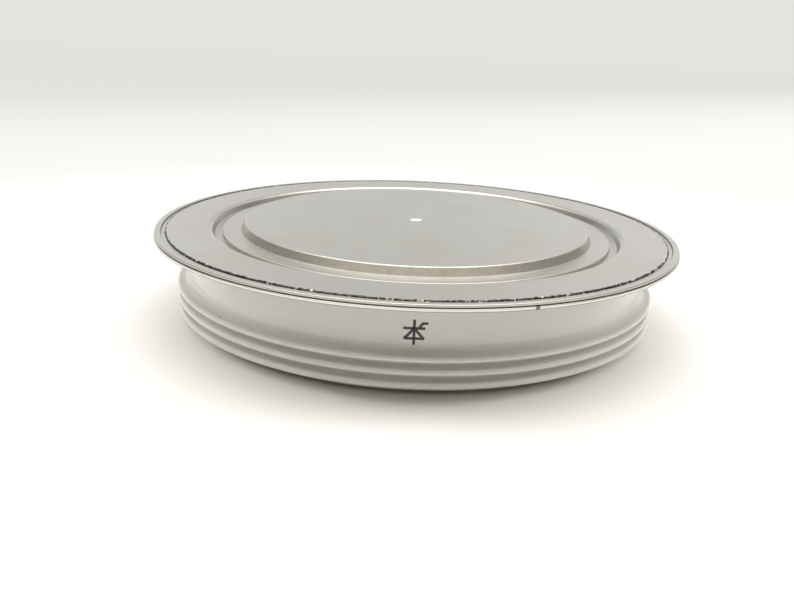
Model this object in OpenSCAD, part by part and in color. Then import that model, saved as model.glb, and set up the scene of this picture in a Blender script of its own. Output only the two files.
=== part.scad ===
// Disc thyristor in a flat pressure-contact housing.
// Two nickel-plated copper poles close a ribbed ceramic ring, and formed sheet flanges seal them to it.
// The cathode side is up, the anode contact face lies on z = 0, and the gate terminals point along +Y.

/* [Housing] */
// Diameter over the welded flange
flange_d = 150; // [146:1:156]
// Diameter of the two contact faces
contact_d = 100; // [98:0.5:101]
// Height from contact face to contact face
overall_h = 26; // [26:0.25:28]
// How far each contact face stands proud of its flange
contact_proud = 1; // [0.9:0.1:1.6]
// Diameter of the locating hole in each contact face
locating_hole_d = 3.5; // [3:0.1:4]
// Depth of the locating holes
locating_hole_depth = 3; // [2:0.1:3.2]

/* [Sheet flanges] */
// Thickness of the flange sheet
sheet_t = 0.7; // [0.5:0.05:0.8]
// Inside radius of the bend at the channel's floor
floor_bend_r = 0.4; // [0.2:0.05:0.5]
// Inside radius of the bend at the flange
flange_bend_r = 0.2; // [0.1:0.05:0.3]
// Depth of the annular channel below the flange
channel_depth = 2.2; // [2.1:0.1:2.4]
// Radius at which the channel's outer wall meets the flange
channel_r = 59.9; // [59.5:0.05:59.9]
// Slope of the channel's outer wall
channel_slope = 52; // [48:1:60]
// Outer radius of the anode flange
anode_flange_r = 65.5; // [64:0.5:66]
// Radius at the middle of the weld groove
weld_groove_r = 72.45; // [71.5:0.05:72.6]
// Width of the weld groove at the surface
weld_groove_w = 1.3; // [0.8:0.05:1.5]
// Depth of the weld groove
weld_groove_depth = 0.35; // [0.1:0.05:0.4]
// Gap between the two sheets outside the weld
rim_gap = 0.15; // [0.05:0.05:0.2]

/* [Poles] */
// Radius of the shoulder below each contact face
shoulder_r = 56.4; // [55:0.1:56.6]
// Height of the contact boss above the shoulder
boss_h = 2.15; // [1.9:0.05:2.3]
// How much wider the contact boss is at its foot, measured on the radius
boss_draft = 1.15; // [0.8:0.05:1.3]
// Radius of each pole inside the housing
pole_body_r = 49; // [48:0.1:49]
// Height of the anode pole
anode_pole_h = 10; // [9:0.1:10.2]
// Chamfer on the contact face
contact_chamfer = 0.35; // [0.2:0.05:0.5]

/* [Ceramic] */
// Inner radius of the ceramic ring
ceramic_ri = 60; // [59.9:0.05:60.4]
// Radius of the plain band under the flange
band_r = 65.8; // [65:0.1:66.5]
// Radius over the ribs
rib_r = 69.3; // [68.8:0.1:70]
// Number of ribs
rib_count = 3; // [2:1:3]
// Distance from rib to rib
rib_pitch = 3.13; // [3:0.01:3.2]
// Radius of each rib's rounded tip
rib_tip_r = 0.75; // [0.6:0.05:0.85]
// Depth of the grooves between the ribs
rib_depth = 2.8; // [2:0.1:3]
// Height of the first rib's tip above the base
first_rib_z = 10.1; // [10:0.05:10.3]
// Height at which the plain band ends and the first rib flares out
flare_z = 12.7; // [12.3:0.1:13.1]

/* [Semiconductor] */
// Radius of the silicon wafer
wafer_r = 50; // [49.5:0.1:50]
// Thickness of the silicon wafer
wafer_t = 0.75; // [0.5:0.05:1]
// Thickness of the anode molybdenum disc
anode_moly_t = 3; // [2.5:0.1:3]
// Thickness of the cathode molybdenum disc
cathode_moly_t = 1.5; // [1.2:0.1:2]
// Radius of the cathode molybdenum disc
cathode_moly_r = 45.5; // [44:0.1:46]

/* [Gate] */
// Height of the gate lead above the base
gate_z = 17; // [17:0.1:17.2]
// Outer radius of the gate tube
gate_tube_r = 2.2; // [2:0.05:2.4]
// Width of the gate tab
gate_tab_w = 2.8; // [2.8:0.1:3.2]
// Width of the auxiliary cathode tab
cathode_tab_w = 4.8; // [4:0.1:6.3]
// Thickness of both tabs
tab_t = 0.5; // [0.4:0.1:0.8]
// Sideways distance of the auxiliary cathode tab from the gate
cathode_tab_x = 14; // [12:0.5:18]
// Radius that the tabs reach
tab_reach = 81; // [79:0.5:82]

/* [Hidden] */
$fn = 96;

nickel = [0.74, 0.73, 0.71];
nickel_sheet = [0.77, 0.76, 0.75];
glazed_white = [0.93, 0.92, 0.90];
molybdenum_grey = [0.52, 0.52, 0.54];
silicon_blue = [0.24, 0.25, 0.31];
rubber_white = [0.88, 0.87, 0.85];
plastic_white = [0.95, 0.95, 0.94];
spring_steel = [0.60, 0.60, 0.60];

// A cut runs this far past the face that it opens
over = 1;

// Levels of the housing, from the base up
flange_r = flange_d / 2;
contact_r = contact_d / 2;
flange_top = overall_h - contact_proud;
seam_z = flange_top - sheet_t;
ceramic_top = seam_z - sheet_t;
ceramic_base = contact_proud + sheet_t;
channel_floor = flange_top - channel_depth;
sheet_hole_r = pole_body_r + 0.2;

// Levels of the stack between the poles
anode_moly_top = anode_pole_h + anode_moly_t;
wafer_top = anode_moly_top + wafer_t;
cathode_contact_z = wafer_top + cathode_moly_t;

// Edges of the inner discs
disc_chamfer = 0.3;
wafer_rim_t = 0.15;
wafer_bevel_w = 2.4;
passivation_w = 1;
passivation_h = 0.75;
moly_hole_r = 3;
ring_clearance = 0.3;

// The gate parts in the middle of the cathode pole
gate_bore_r = 6;
gate_bore_top = overall_h - 4.5;
gate_fit = 0.1;
gate_cup_wall = 1.3;
gate_cup_end = 0.7;
gate_slot_w = 3.2;
gate_slot_top = gate_z + 1.6;
pin_head_r = 3.9;
pin_head_h = 1.2;
pin_tip_r = 1.3;
pin_spigot_r = 1.6;
pin_spigot_h = 1.4;
pin_solder_depth = 2.4;
spring_r = 2.6;
spring_wire_r = 0.3;
spring_turns = 3;
spring_sides = 10;
spring_steps = 24;
spring_last = spring_turns * spring_steps;
spring_base = gate_z + pin_head_h / 2 + spring_wire_r;
spring_rise = gate_bore_top - gate_fit - gate_cup_end - spring_wire_r - spring_base;
lead_r = 0.4;
sleeve_r = 1;
sleeve_fit = 0.05;

// The gate feedthrough in the ceramic
spot_face_y = band_r - 0.9;
eyelet_r = 3.6;
eyelet_t = 0.8;
spot_face_r = eyelet_r + 0.2;
tube_start = ceramic_ri - 2;
tube_bore_r = sleeve_r + sleeve_fit;
tube_end = band_r + 5;
lead_end = tube_end + 0.4;

// The blade of each terminal tab
tab_nose = 0.8;
tab_hole_r = 0.65;
tab_hole_back = 3;
gate_eye_r = 3;
gate_eye_y = tube_end - 1.5;
gate_blade_end = tab_reach - 3;
cathode_tab_start = band_r + 1;

// Centre of a rib's tip, counted from the top
function rib_z(i) = first_rib_z - i * rib_pitch;
rib_centre_r = rib_r - rib_tip_r;
groove_r = rib_pitch / 2 - rib_tip_r;
last_rib_z = rib_z(rib_count - 1);
foot_r = anode_flange_r + 0.5;

// The flare's hollow touches both the band and the first rib's tip
flare_run = rib_centre_r - band_r;
flare_rise = flare_z - first_rib_z;
flare_square = flare_run * flare_run + flare_rise * flare_rise - rib_tip_r * rib_tip_r;
flare_r = flare_square / (2 * (flare_run + rib_tip_r));
flare_centre = [band_r + flare_r, flare_z];

// Point where a line from p touches a circle, on the left (1) or the right (-1) as seen from the circle
function touch(centre, r, p, side) =
    let (d = p - centre, a = atan2(d[1], d[0]) + side * acos(r / norm(d)))
    centre + r * [cos(a), sin(a)];

// Rectangle between two radii and two heights, for turning
module band2d(r_in, r_out, z_low, z_high) {
    translate([r_in, z_low]) square([r_out - r_in, z_high - z_low]);
}

// Bend of a sheet about a centre, from a start angle through a turn
module bend2d(centre, inside_r, start, turn) {
    reach = 2 * (inside_r + sheet_t);
    translate(centre) intersection() {
        difference() {
            circle(inside_r + sheet_t);
            circle(inside_r);
        }
        polygon([[0, 0], for (a = [start, start + turn / 2, start + turn]) reach * [cos(a), sin(a)]]);
    }
}

// Section of a flange: inner flat under the shoulder, sloping channel wall, outer flat with a rounded rim
module flange_section(outer_r) {
    normal = [sin(channel_slope), -cos(channel_slope)];
    rise = seam_z - channel_floor - floor_bend_r - flange_bend_r;
    run = (floor_bend_r + flange_bend_r + sheet_t + rise * cos(channel_slope)) / sin(channel_slope);
    upper = [channel_r, seam_z - flange_bend_r];
    lower = [channel_r - run, channel_floor + floor_bend_r];
    band2d(sheet_hole_r, lower[0], channel_floor - sheet_t, channel_floor);
    bend2d(lower, floor_bend_r, -90, channel_slope);
    polygon([lower + floor_bend_r * normal, lower + (floor_bend_r + sheet_t) * normal,
             upper - flange_bend_r * normal, upper - (flange_bend_r + sheet_t) * normal]);
    bend2d(upper, flange_bend_r, 90, channel_slope);
    band2d(channel_r, outer_r - sheet_t / 2, seam_z, flange_top);
    translate([outer_r - sheet_t / 2, seam_z + sheet_t / 2]) circle(sheet_t / 2);
}

// Section of the pressed weld groove, open upwards from the given height
module groove_section(z) {
    half = weld_groove_w / 2;
    floor_half = half - weld_groove_depth;
    translate([weld_groove_r, z])
        polygon([[-floor_half, -weld_groove_depth], [floor_half, -weld_groove_depth],
                 [half, 0], [half, over], [-half, over], [-half, 0]]);
}

// Section of a pole with its contact face at the top, down to the given level inside the housing
module pole_section(inner_z) {
    shoulder_top = overall_h - boss_h;
    polygon([[0, inner_z], [pole_body_r - disc_chamfer, inner_z], [pole_body_r, inner_z + disc_chamfer],
             [pole_body_r, channel_floor], [shoulder_r, channel_floor],
             [shoulder_r, shoulder_top - disc_chamfer], [shoulder_r - disc_chamfer, shoulder_top],
             [contact_r + boss_draft, shoulder_top], [contact_r, overall_h - contact_chamfer],
             [contact_r - contact_chamfer, overall_h], [0, overall_h]]);
}

// A pole with its locating hole, contact face up
module pole(inner_z) {
    difference() {
        rotate_extrude() pole_section(inner_z);
        translate([0, 0, overall_h - locating_hole_depth])
            cylinder(h = locating_hole_depth + over, d = locating_hole_d);
    }
}

// Turns a piece made contact face up into the same piece with its contact face on the base
module on_anode_side() {
    translate([0, 0, overall_h]) mirror([0, 0, 1]) children();
}

// Straight cylinder along +Y at the height of the gate lead
module along_gate(y0, y1, r) {
    translate([0, y0, gate_z]) rotate([-90, 0, 0]) cylinder(h = y1 - y0, r = r);
}

// Flat blade that points along +Y, with a tapered nose and a small hole
module blade(w, y0, y1) {
    linear_extrude(tab_t) difference() {
        polygon([[-w / 2, y0], [w / 2, y0], [w / 2, y1 - tab_nose], [w / 2 - tab_nose, y1],
                 [tab_nose - w / 2, y1], [-w / 2, y1 - tab_nose]]);
        translate([0, y1 - tab_hole_back]) circle(tab_hole_r, $fn = 32);
    }
}

module cathode_pole() {
    color(nickel) difference() {
        pole(cathode_contact_z);
        translate([0, 0, cathode_contact_z - over])
            cylinder(h = gate_bore_top - cathode_contact_z + over, r = gate_bore_r);
        translate([-gate_slot_w / 2, 0, cathode_contact_z - over])
            cube([gate_slot_w, pole_body_r + over, gate_slot_top - cathode_contact_z + over]);
    }
}

module anode_pole() {
    color(nickel) on_anode_side() pole(overall_h - anode_pole_h);
}

module cathode_flange() {
    color(nickel_sheet) rotate_extrude() difference() {
        flange_section(flange_r);
        groove_section(flange_top);
    }
}

module anode_flange() {
    color(nickel_sheet) on_anode_side() rotate_extrude() flange_section(anode_flange_r);
}

// Ring on top of the ceramic that carries the cathode flange; its rim stands off a little outside the weld
module weld_ring() {
    rim_t = sheet_t - rim_gap;
    weld_edge_r = weld_groove_r + weld_groove_w;
    color(nickel_sheet) rotate_extrude() difference() {
        union() {
            band2d(ceramic_ri + 0.4, weld_edge_r, ceramic_top, seam_z);
            band2d(weld_edge_r, flange_r - rim_t / 2, ceramic_top, seam_z - rim_gap);
            translate([flange_r - rim_t / 2, ceramic_top + rim_t / 2]) circle(rim_t / 2);
        }
        translate([0, 2 * ceramic_top]) mirror([0, 1]) groove_section(ceramic_top);
    }
}

// Section of the ceramic: plain band, flare that sweeps out into the first rib, rounded ribs, foot below them
module ceramic_section() {
    first_rib = [rib_centre_r, first_rib_z];
    last_rib = [rib_centre_r, last_rib_z];
    foot_corner = [foot_r, ceramic_base];
    difference() {
        union() {
            band2d(ceramic_ri, band_r, ceramic_base, ceramic_top);
            polygon([[ceramic_ri, ceramic_base], foot_corner, touch(last_rib, rib_tip_r, foot_corner, 1),
                     last_rib, first_rib, [ceramic_ri, first_rib_z]]);
            for (i = [0 : rib_count - 1]) translate([rib_centre_r, rib_z(i)]) circle(rib_tip_r);
            difference() {
                polygon([[ceramic_ri, last_rib_z], last_rib, first_rib, flare_centre, [ceramic_ri, flare_z]]);
                translate(flare_centre) circle(flare_r);
            }
        }
        for (i = [0 : rib_count - 2]) translate([rib_r - rib_depth + groove_r, rib_z(i) - rib_pitch / 2]) {
            circle(groove_r);
            translate([0, -groove_r]) square([rib_depth + over, 2 * groove_r]);
        }
    }
}

module ceramic_ring() {
    color(glazed_white) difference() {
        rotate_extrude() ceramic_section();
        along_gate(ceramic_ri - over, band_r + over, gate_tube_r);
        along_gate(spot_face_y, band_r + over, spot_face_r);
    }
}

module anode_molybdenum_disc() {
    color(molybdenum_grey) rotate_extrude()
        polygon([[0, anode_pole_h], [wafer_r - disc_chamfer, anode_pole_h],
                 [wafer_r, anode_pole_h + disc_chamfer], [wafer_r, anode_moly_top], [0, anode_moly_top]]);
}

// The rim of the wafer is ground to a shallow bevel, which the passivation covers
module silicon_wafer() {
    color(silicon_blue) rotate_extrude()
        polygon([[0, anode_moly_top], [wafer_r, anode_moly_top], [wafer_r, anode_moly_top + wafer_rim_t],
                 [wafer_r - wafer_bevel_w, wafer_top], [0, wafer_top]]);
}

module edge_passivation() {
    inner_r = wafer_r - wafer_bevel_w - passivation_w;
    color(rubber_white) rotate_extrude()
        polygon([[wafer_r, anode_moly_top + wafer_rim_t], [wafer_r, wafer_top + passivation_h],
                 [inner_r, wafer_top + passivation_h], [inner_r, wafer_top],
                 [wafer_r - wafer_bevel_w, wafer_top]]);
}

module cathode_molybdenum_disc() {
    color(molybdenum_grey) rotate_extrude()
        polygon([[moly_hole_r, wafer_top], [cathode_moly_r - disc_chamfer, wafer_top],
                 [cathode_moly_r, wafer_top + disc_chamfer], [cathode_moly_r, cathode_contact_z],
                 [moly_hole_r, cathode_contact_z]]);
}

// Stands on the anode flange and keeps the wafer stack in the middle of the ceramic
module centring_ring() {
    ring_base = overall_h - channel_floor + sheet_t;
    color(plastic_white) rotate_extrude()
        band2d(wafer_r + ring_clearance, ceramic_ri - ring_clearance, ring_base, wafer_top + passivation_h);
}

// Insulating cup in the gate bore, slotted for the lead
module gate_cup() {
    cup_r = gate_bore_r - gate_fit;
    cup_base = cathode_contact_z + gate_fit;
    cup_top = gate_bore_top - gate_fit;
    color(plastic_white) difference() {
        translate([0, 0, cup_base]) cylinder(h = cup_top - cup_base, r = cup_r);
        translate([0, 0, cup_base - over])
            cylinder(h = cup_top - gate_cup_end - cup_base + over, r = cup_r - gate_cup_wall);
        translate([-sleeve_r - gate_fit, 0, cup_base - over])
            cube([2 * (sleeve_r + gate_fit), cup_r + over, gate_z + sleeve_r + gate_fit - cup_base + over]);
    }
}

// Point of the spring's wire: step along the coil, side around the wire
function spring_point(step, side) =
    let (turn = 360 * step / spring_steps,
         around = 360 * side / spring_sides,
         r = spring_r + spring_wire_r * cos(around))
    [r * cos(turn), r * sin(turn),
     spring_base + spring_rise * step / spring_last + spring_wire_r * sin(around)];

module gate_spring() {
    points = [for (step = [0 : spring_last], side = [0 : spring_sides - 1]) spring_point(step, side)];
    walls = [for (step = [0 : spring_last - 1], side = [0 : spring_sides - 1])
        let (next = (side + 1) % spring_sides, a = step * spring_sides, b = a + spring_sides)
        [a + side, b + side, b + next, a + next]];
    start_cap = [[for (side = [0 : spring_sides - 1]) side]];
    end_cap = [[for (side = [spring_sides - 1 : -1 : 0]) spring_last * spring_sides + side]];
    color(spring_steel) polyhedron(points, concat(walls, start_cap, end_cap), convexity = 6);
}

// Headed contact pin: the tip stands on the wafer, the spring sits round the spigot
// and the lead is soldered into the head
module gate_pin() {
    head_base = gate_z - pin_head_h / 2;
    color(spring_steel) difference() {
        union() {
            translate([0, 0, wafer_top]) cylinder(h = head_base - wafer_top, r = pin_tip_r);
            translate([0, 0, head_base]) cylinder(h = pin_head_h, r = pin_head_r);
            translate([0, 0, head_base + pin_head_h]) cylinder(h = pin_spigot_h, r = pin_spigot_r);
        }
        along_gate(pin_head_r - pin_solder_depth, pin_head_r + over, lead_r);
    }
}

module gate_lead() {
    color(nickel) along_gate(pin_head_r - pin_solder_depth, lead_end, lead_r);
}

module gate_lead_sleeve() {
    color(plastic_white) difference() {
        along_gate(pin_head_r + gate_fit, tube_end - over, sleeve_r);
        along_gate(pin_head_r - over, tube_end, lead_r + sleeve_fit);
    }
}

// Tube through the ceramic, closed round the lead at its outer end
module gate_tube() {
    color(nickel) difference() {
        along_gate(tube_start, tube_end, gate_tube_r);
        along_gate(tube_start - over, tube_end - over, tube_bore_r);
        along_gate(tube_start - over, tube_end + over, lead_r);
    }
}

module gate_eyelet() {
    color(nickel_sheet) difference() {
        along_gate(spot_face_y, spot_face_y + eyelet_t, eyelet_r);
        along_gate(spot_face_y - over, band_r + over, gate_tube_r);
    }
}

// Eye on the gate tube, folded over at the top into a flat blade
module gate_tab() {
    blade_z = gate_z + gate_eye_r - tab_t;
    color(nickel_sheet) union() {
        difference() {
            union() {
                along_gate(gate_eye_y, gate_eye_y + tab_t, gate_eye_r);
                translate([-gate_tab_w / 2, gate_eye_y, gate_z]) cube([gate_tab_w, tab_t, gate_eye_r]);
            }
            along_gate(gate_eye_y - over, gate_eye_y + over, gate_tube_r);
        }
        translate([0, 0, blade_z]) blade(gate_tab_w, gate_eye_y, gate_blade_end);
    }
}

module auxiliary_cathode_tab() {
    color(nickel_sheet) translate([cathode_tab_x, 0, ceramic_top - tab_t])
        blade(cathode_tab_w, cathode_tab_start, tab_reach);
}

cathode_pole();
cathode_flange();
weld_ring();
ceramic_ring();
anode_flange();
anode_pole();
anode_molybdenum_disc();
silicon_wafer();
edge_passivation();
cathode_molybdenum_disc();
centring_ring();
gate_cup();
gate_spring();
gate_pin();
gate_lead();
gate_lead_sleeve();
gate_tube();
gate_eyelet();
gate_tab();
auxiliary_cathode_tab();
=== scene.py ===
"""Disc thyristor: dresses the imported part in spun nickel, glazed ceramic and tinned tabs, in a white studio."""

import math

import bmesh
import bpy
from bpy.props import FloatProperty, FloatVectorProperty, IntProperty, PointerProperty
from mathutils import Matrix, Vector


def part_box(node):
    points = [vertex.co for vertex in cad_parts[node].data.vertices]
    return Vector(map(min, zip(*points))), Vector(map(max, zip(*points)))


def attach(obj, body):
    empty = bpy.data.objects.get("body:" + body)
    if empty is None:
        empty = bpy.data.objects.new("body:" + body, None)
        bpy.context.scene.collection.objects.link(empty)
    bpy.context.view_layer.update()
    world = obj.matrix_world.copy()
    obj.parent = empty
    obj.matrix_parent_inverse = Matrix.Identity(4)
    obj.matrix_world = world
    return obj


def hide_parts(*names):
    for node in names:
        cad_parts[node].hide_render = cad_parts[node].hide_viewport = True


bl_info = {
    "name": "Disc Thyristor",
    "version": (1, 0, 0),
    "blender": (4, 5, 0),
    "location": "View3D > Sidebar > Disc",
    "description": "Builds a disc thyristor in its ribbed ceramic housing",
    "category": "Object",
}

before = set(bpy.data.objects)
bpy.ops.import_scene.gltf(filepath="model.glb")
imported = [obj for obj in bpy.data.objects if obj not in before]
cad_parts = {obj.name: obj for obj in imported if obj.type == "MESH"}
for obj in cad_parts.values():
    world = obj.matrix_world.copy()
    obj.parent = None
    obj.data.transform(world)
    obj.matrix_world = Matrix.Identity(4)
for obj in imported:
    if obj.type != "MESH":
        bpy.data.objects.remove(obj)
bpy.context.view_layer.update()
BODY = "root"
MM = 0.001
HORIZON = (0.775, 0.770, 0.735)  # colour behind the paper
WELD = 0.5e-6  # points closer than this are merged
RIM_SET_BACK = 0.20 * MM  # the upper sheet's rim lies this far inside the lower sheet's
GROOVE_SLOPE = 0.16 * MM  # run of the weld groove's walls
CHANNEL_SHADE_BAND = (58.4 * MM, 58.7 * MM, 59.2 * MM, 59.5 * MM)  # radii of the painted shade band on the channel's wall
NICK_X, NICK_Y = 26.6 * MM, -70.1 * MM  # painted shade of a nick in the lower rim
SEAM_STEPS, TUBE_STEPS, EYE_STEPS = 1536, 64, 96  # steps of a full turn where they differ from the main pieces
HIDDEN_SLOTS = {
    "anode_molybdenum_disc": "molybdenum", "cathode_molybdenum_disc": "molybdenum", "silicon_wafer": "silicon",
    "edge_passivation": "silicone_rubber", "centring_ring": "white_plastic", "gate_cup": "white_plastic",
    "gate_lead_sleeve": "white_plastic", "gate_spring": "spring_steel", "gate_pin": "spring_steel",
}


def length(name, description, default):
    """A size in metres that a user may change."""
    return FloatProperty(name=name, description=description, default=default, unit="LENGTH", precision=5,
                         min=0.0)


def colour(name, description, default):
    """A surface colour that a user may change."""
    return FloatVectorProperty(name=name, description=description, default=default, subtype="COLOR", size=3,
                               min=0.0, max=1.0)


def scaled(shade, share):
    """A lighter or darker colour of the same hue."""
    return tuple(share * part for part in shade)


class DiscSizes(bpy.types.PropertyGroup):
    """Sizes of the housing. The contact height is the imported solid's."""

    top: length("Contact height", "Height of the upper contact face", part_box("cathode_pole")[1].z)
    flange_r: length("Flange radius", "Radius of the welded rim", 75 * MM)
    contact_r: length("Contact radius", "Radius of the contact faces", 50 * MM)
    contact_proud: length("Contact step", "How far a contact face stands proud of its flange", 1.0 * MM)
    boss_h: length("Boss height", "Height of the contact boss over its shoulder", 2.15 * MM)
    shoulder_r: length("Shoulder radius", "Radius of the shoulder round the boss", 56.4 * MM)
    pole_r: length("Pole radius", "Radius of the poles inside the housing", 49 * MM)
    hole_r: length("Locating hole radius", "Radius of the hole in a contact face", 1.75 * MM)
    hole_depth: length("Locating hole depth", "Depth of the hole in a contact face", 3 * MM)
    hole_sink: length("Locating hole countersink", "Depth of the hole's countersunk mouth", 0.50 * MM)
    hole_lip: length("Locating hole lip", "Width of the hole's countersunk mouth", 0.80 * MM)
    boss_draft: length("Boss draft", "How much wider the boss is at its foot", 1.15 * MM)
    sheet_t: length("Sheet thickness", "Thickness of the flange sheet", 0.7 * MM)
    channel_r: length("Channel radius", "Radius at which the flange bends down into the channel", 60.44 * MM)
    channel_bend: length("Channel bend", "Radius of the bend at the top of the channel's outer wall", 1.5 * MM)
    channel_slope: FloatProperty(name="Channel slope", description="Slope of the channel's outer wall",
                                 default=math.radians(64), subtype="ANGLE")
    channel_depth: length("Channel depth", "Depth of the channel below the flange", 2.2 * MM)
    anode_flange_r: length("Anode flange radius", "Radius of the lower flange", 65.5 * MM)
    seam_r: length("Seam radius", "Radius of the inner edge of the weld groove", 71.8 * MM)
    seam_w: length("Seam width", "Width of the weld groove", 1.3 * MM)
    seam_depth: length("Seam depth", "Depth of the weld groove", 0.42 * MM)
    bore_r: length("Ceramic bore", "Inner radius of the ceramic ring", 60 * MM)
    band_r: length("Band radius", "Radius of the plain ceramic band", 65.8 * MM)
    rib_r: length("Rib radius", "Radius over the ribs", 69.3 * MM)
    rib_root_r: length("Groove radius", "Radius at the bottom of the grooves between the ribs", 66.5 * MM)
    rib_z: length("First rib", "Height of the first rib's tip", 10.1 * MM)
    rib_pitch: length("Rib pitch", "Distance from rib to rib", 3.13 * MM)
    rib_tip_r: length("Rib rounding", "Radius of a rib's tip", 0.75 * MM)
    gate_z: length("Gate height", "Height of the gate tube", 17 * MM)
    gate_tube_r: length("Gate tube radius", "Outer radius of the gate tube", 2.2 * MM)
    steps: IntProperty(name="Steps", description="Steps of a full turn", default=256, min=32, max=512)


class DiscFinishes(bpy.types.PropertyGroup):
    """Colours of the finishes."""

    nickel: colour("Nickel", "Satin nickel plating of the poles", (0.600, 0.592, 0.560))
    sheet: colour("Sheet", "Nickel-plated flange sheet", (0.605, 0.594, 0.566))
    tarnish: colour("Tarnish", "Brown film on the plating", (0.400, 0.340, 0.260))
    # the seam colour is torn metal, darkened in part as painted shade of the weld groove
    seam: colour("Seam", "Torn metal of the weld groove", (0.300, 0.290, 0.275))
    ceramic: colour("Ceramic", "Glazed white ceramic", (0.705, 0.695, 0.667))
    grime: colour("Grime", "Handling marks on the glaze", (0.560, 0.530, 0.480))
    ink: colour("Ink", "Grey marking ink", (0.055, 0.056, 0.064))
    tin: colour("Tin", "Tinned terminal tabs", (0.660, 0.650, 0.630))
    paper: colour("Paper", "Seamless white paper under the disc", (0.900, 0.897, 0.885))


class DiscStudio(bpy.types.PropertyGroup):
    """Camera and light of the studio."""

    camera_distance: length("Camera distance", "Distance of the camera from the disc's axis", 222.3303 * MM)
    camera_height: length("Camera height", "Height of the camera over the table", 75.5771 * MM)
    camera_yaw: FloatProperty(name="Yaw", description="Camera's turn to the right", default=-0.0215,
                              subtype="ANGLE")
    camera_pitch: FloatProperty(name="Pitch", description="Camera's tilt down", default=0.3230, subtype="ANGLE")
    camera_roll: FloatProperty(name="Roll", description="Camera's roll", default=0.0381, subtype="ANGLE")
    focal: FloatProperty(name="Focal length", description="Lens focal length in millimetres", default=34.393)
    key_power: FloatProperty(name="Key power", description="Power of the overhead lamp", default=11.6,
                             unit="POWER")
    card_power: FloatProperty(name="Card power", description="Power of the strip that only the metal mirrors",
                              default=2.9, unit="POWER")
    side_power: FloatProperty(name="Side power", description="Power of each side lamp", default=3.1,
                              unit="POWER")
    tent: FloatProperty(name="Tent", description="Brightness of the white tent behind and beside the disc",
                        default=0.575)
    front: FloatProperty(name="Front", description="Brightness of the room in front of the disc", default=0.82)


# Modelling: sections are drawn corner by corner, rounded and spun


def upright(r, z):
    """Place of a section's corner for a piece that is spun about the disc's axis."""
    return Vector((r, 0.0, z))


def along_gate(gate_z):
    """Places of a section's corners for a piece that is spun about the gate tube's axis."""
    return lambda r, y: Vector((r, y, gate_z))


def select_where(piece, test):
    """Selects the vertices of the piece in edit mode whose place passes the test."""
    mesh = bmesh.from_edit_mesh(piece.data)
    bpy.ops.mesh.select_mode(type="VERT")
    for part in (mesh.faces, mesh.edges, mesh.verts):
        for element in part:
            element.select_set(False)
    for vertex in mesh.verts:
        if test(vertex.co):
            vertex.select_set(True)
    mesh.select_flush_mode()
    bmesh.update_edit_mesh(piece.data)


def draw_outline(name, corners, place=upright):
    """Draws a closed outline from (across, up) corners, each with an optional rounding, and stays in edit mode.

    A corner is (across, up) or (across, up, offset): the offset is where its rounding starts along both sides.
    """
    bpy.ops.object.select_all(action="DESELECT")
    bpy.ops.mesh.primitive_plane_add(size=MM)
    piece = bpy.context.object
    piece.name = piece.data.name = name
    bpy.ops.object.mode_set(mode="EDIT")
    bpy.ops.mesh.select_all(action="SELECT")
    bpy.ops.mesh.merge(type="CENTER")
    places = [place(corner[0], corner[1]) for corner in corners]
    bpy.ops.transform.translate(value=places[0])
    for last, new in zip(places, places[1:]):
        bpy.ops.mesh.extrude_vertices_move(TRANSFORM_OT_translate={"value": new - last})
    bpy.ops.mesh.select_all(action="SELECT")
    bpy.ops.mesh.edge_face_add()
    for offset in sorted({corner[2] for corner in corners if len(corner) > 2}):
        spots = [spot for spot, corner in zip(places, corners) if corner[2:] == (offset,)]
        select_where(piece, lambda co: any((co - spot).length < WELD for spot in spots))
        bpy.ops.mesh.bevel(offset=offset, segments=8, affect="VERTICES", profile=0.5)
    return piece


def close_mesh():
    """Merges doubles, drops loose bits and turns the faces outwards, in edit mode."""
    bpy.ops.mesh.select_all(action="SELECT")
    bpy.ops.mesh.remove_doubles(threshold=WELD)
    bpy.ops.mesh.dissolve_degenerate(threshold=WELD)
    bpy.ops.mesh.delete_loose(use_verts=True, use_edges=True, use_faces=False)
    bpy.ops.mesh.select_all(action="SELECT")
    bpy.ops.mesh.normals_make_consistent(inside=False)


def spin_outline(steps, centre=(0, 0, 0), axis=(0, 0, 1)):
    """Spins the outline in edit mode into a closed piece and goes back to object mode."""
    bpy.ops.mesh.select_all(action="SELECT")
    bpy.ops.mesh.delete(type="ONLY_FACE")
    bpy.ops.mesh.select_all(action="SELECT")
    bpy.ops.mesh.spin(steps=steps, angle=math.tau, center=centre, axis=axis)
    close_mesh()
    bpy.ops.object.mode_set(mode="OBJECT")


def activate(piece):
    """Makes the piece the only selected and the active one."""
    bpy.ops.object.select_all(action="DESELECT")
    piece.select_set(True)
    bpy.context.view_layer.objects.active = piece


def apply_modifier(piece, kind, **settings):
    """Adds a modifier to the piece with these settings and applies it."""
    activate(piece)
    bpy.ops.object.modifier_add(type=kind)
    modifier = piece.modifiers[-1]
    for key, value in settings.items():
        setattr(modifier, key, value)
    bpy.ops.object.modifier_apply(modifier=modifier.name)


def cut(piece, cutter):
    """Takes the cutter's shape out of the piece and removes the cutter."""
    apply_modifier(piece, "BOOLEAN", operation="DIFFERENCE", object=cutter, solver="EXACT")
    bpy.data.objects.remove(cutter)


def smooth(piece, angle=30):
    """Shades the piece smooth up to this angle, with its flats kept flat."""
    activate(piece)
    bpy.ops.object.shade_smooth_by_angle(angle=math.radians(angle))
    apply_modifier(piece, "WEIGHTED_NORMAL", weight=100, keep_sharp=True)


def hand_over(piece, slot, finish, *nodes):
    """Gives the piece its finish and ties it to the frame."""
    piece.data.materials.clear()
    piece.data.materials.append(finish)
    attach(piece, BODY)
    if nodes:
        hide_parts(*nodes)


def flipped(corners, top):
    """The same section for the lower side of the disc."""
    return [(corner[0], top - corner[1], *corner[2:]) for corner in corners]


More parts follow.
